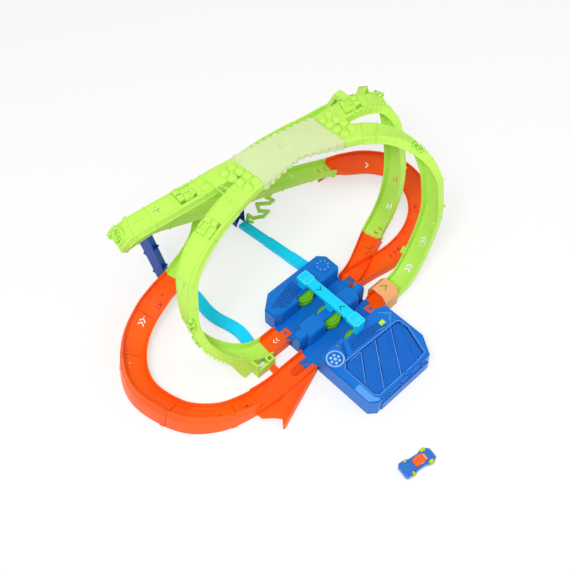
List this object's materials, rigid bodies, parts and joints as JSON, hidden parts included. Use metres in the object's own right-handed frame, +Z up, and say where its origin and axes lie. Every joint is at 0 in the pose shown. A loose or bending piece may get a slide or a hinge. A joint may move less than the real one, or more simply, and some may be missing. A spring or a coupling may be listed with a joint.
{
  "type": "motorised loop track set",
  "caption": "Motorised two-lane booster with paired loops that cross overhead, banked floor curves, supports and a small toy car.",
  "frame": {"origin": "on the ground under the middle wheel, at the centre of the booster's flat underside", "axes": "+X along the booster lanes towards the tunnel exit, +Y across the lanes towards the loops, +Z up"},
  "size_m": [0.767, 0.6585, 0.3283],
  "materials": {
    "booster_blue": "satin",
    "deep_blue": "satin",
    "battery_case": "gloss",
    "steel": "satin",
    "brass": "satin",
    "white_nylon": "matte",
    "green_rubber": "matte",
    "cyan_plastic": "satin",
    "orange_plastic": "satin",
    "lime_plastic": "satin",
    "lime_clear": "clear gloss",
    "peach_clear": "clear gloss",
    "car_paint": "gloss",
    "car_orange": "gloss",
    "car_wheel": "gloss"
  },
  "bodies": {
    "set": {"base_plate": "deep_blue", "upper_shell": "booster_blue", "battery_door": "deep_blue", "cells": "battery_case", "contacts": "steel", "motor": "steel", "round_badge": "booster_blue", "bridge": "cyan_plastic", "screws": "steel", "exit_left": "orange_plastic", "exit_right": "orange_plastic", "tunnel": "peach_clear", "merge_right": "orange_plastic", "feed_ramp": "orange_plastic", "loop_two_low": "lime_plastic", "loop_two_high": "lime_plastic", "cross_right": "lime_plastic", "cross_clear": "lime_clear", "cross_left": "lime_plastic", "upper_band": "lime_plastic", "tip_turn": "lime_plastic", "return_high": "lime_plastic", "return_low": "lime_plastic", "curve_right_a": "orange_plastic", "curve_right_b": "orange_plastic", "loop_one_low": "lime_plastic", "loop_one_high": "lime_plastic", "turn_over": "lime_plastic", "drop_track": "lime_plastic", "ramp_high": "lime_plastic", "ramp_low": "lime_plastic", "curve_left_a": "orange_plastic", "curve_left_b": "orange_plastic", "curve_left_c": "orange_plastic", "entry_left": "orange_plastic", "column_left": "deep_blue", "column_back": "deep_blue", "ramp_hanger": "lime_plastic", "floor_link_a": "cyan_plastic", "floor_link_b": "cyan_plastic", "bolt_strut": "lime_plastic", "side_foot": "lime_plastic", "track_tie": "orange_plastic"},
    "right_wheel": {"hub_right": "white_nylon", "tread_right": "green_rubber"},
    "middle_wheel": {"hub_middle": "white_nylon", "tread_middle": "green_rubber"},
    "left_wheel": {"hub_left": "white_nylon", "tread_left": "green_rubber"},
    "reduction": {"reduction_gear": "white_nylon"},
    "pinion": {"motor_pinion": "brass"},
    "idler_d": {"gear_d": "white_nylon"},
    "idler_c": {"gear_c": "white_nylon"},
    "idler_b": {"gear_b": "white_nylon"},
    "idler_a": {"gear_a": "white_nylon"},
    "switch": {"power_slider": "lime_plastic"},
    "car": {"car_body": "car_paint", "car_canopy": "car_orange"},
    "front_axle": {"car_axle_front": "car_wheel"},
    "rear_axle": {"car_axle_rear": "car_wheel"}
  },
  "joints": [
    {"name": "right_spin", "type": "hinge", "parent": "set", "child": "right_wheel", "pos_m": [0, -0.072, 0.02], "axis": [0, 0, 1], "continuous": true},
    {"name": "middle_spin", "type": "hinge", "parent": "set", "child": "middle_wheel", "pos_m": [0, 0, 0.02], "axis": [0, 0, 1], "continuous": true},
    {"name": "left_spin", "type": "hinge", "parent": "set", "child": "left_wheel", "pos_m": [0, 0.072, 0.02], "axis": [0, 0, 1], "continuous": true},
    {"name": "reduction_spin", "type": "hinge", "parent": "set", "child": "reduction", "pos_m": [0.02771, -0.088, 0.005], "axis": [0, 0, 1], "continuous": true},
    {"name": "pinion_spin", "type": "hinge", "parent": "set", "child": "pinion", "pos_m": [0.05036, -0.09199, 0.005], "axis": [0, 0, 1], "continuous": true},
    {"name": "idler_d_spin", "type": "hinge", "parent": "set", "child": "idler_d", "pos_m": [0, -0.046, 0.005], "axis": [0, 0, 1], "continuous": true},
    {"name": "idler_c_spin", "type": "hinge", "parent": "set", "child": "idler_c", "pos_m": [0, -0.026, 0.005], "axis": [0, 0, 1], "continuous": true},
    {"name": "idler_b_spin", "type": "hinge", "parent": "set", "child": "idler_b", "pos_m": [0, 0.026, 0.005], "axis": [0, 0, 1], "continuous": true},
    {"name": "idler_a_spin", "type": "hinge", "parent": "set", "child": "idler_a", "pos_m": [0, 0.046, 0.005], "axis": [0, 0, 1], "continuous": true},
    {"name": "switch_slide", "type": "slide", "parent": "set", "child": "switch", "axis": [0, 1, 0], "range_m": [0, 0.004]},
    {"name": "car_roll", "type": "slide", "parent": "set", "child": "car", "axis": [0.9848, -0.1736, 0], "range_m": [-0.08, 0.08]},
    {"name": "front_axle_spin", "type": "hinge", "parent": "car", "child": "front_axle", "pos_m": [-0.07329, -0.30847, 0.006], "axis": [0.1736, 0.9848, 0], "continuous": true},
    {"name": "rear_axle_spin", "type": "hinge", "parent": "car", "child": "rear_axle", "pos_m": [-0.11271, -0.30152, 0.006], "axis": [0.1736, 0.9848, 0], "continuous": true}
  ],
  "couplings": [
    {"joint": "reduction_spin", "follows": "right_spin", "ratio": -1},
    {"joint": "pinion_spin", "follows": "right_spin", "ratio": 2.2857},
    {"joint": "idler_d_spin", "follows": "right_spin", "ratio": -1.6},
    {"joint": "idler_c_spin", "follows": "right_spin", "ratio": 1.6},
    {"joint": "middle_spin", "follows": "right_spin", "ratio": -1},
    {"joint": "idler_b_spin", "follows": "right_spin", "ratio": 1.6},
    {"joint": "idler_a_spin", "follows": "right_spin", "ratio": -1.6},
    {"joint": "left_spin", "follows": "right_spin", "ratio": 1}
  ]
}
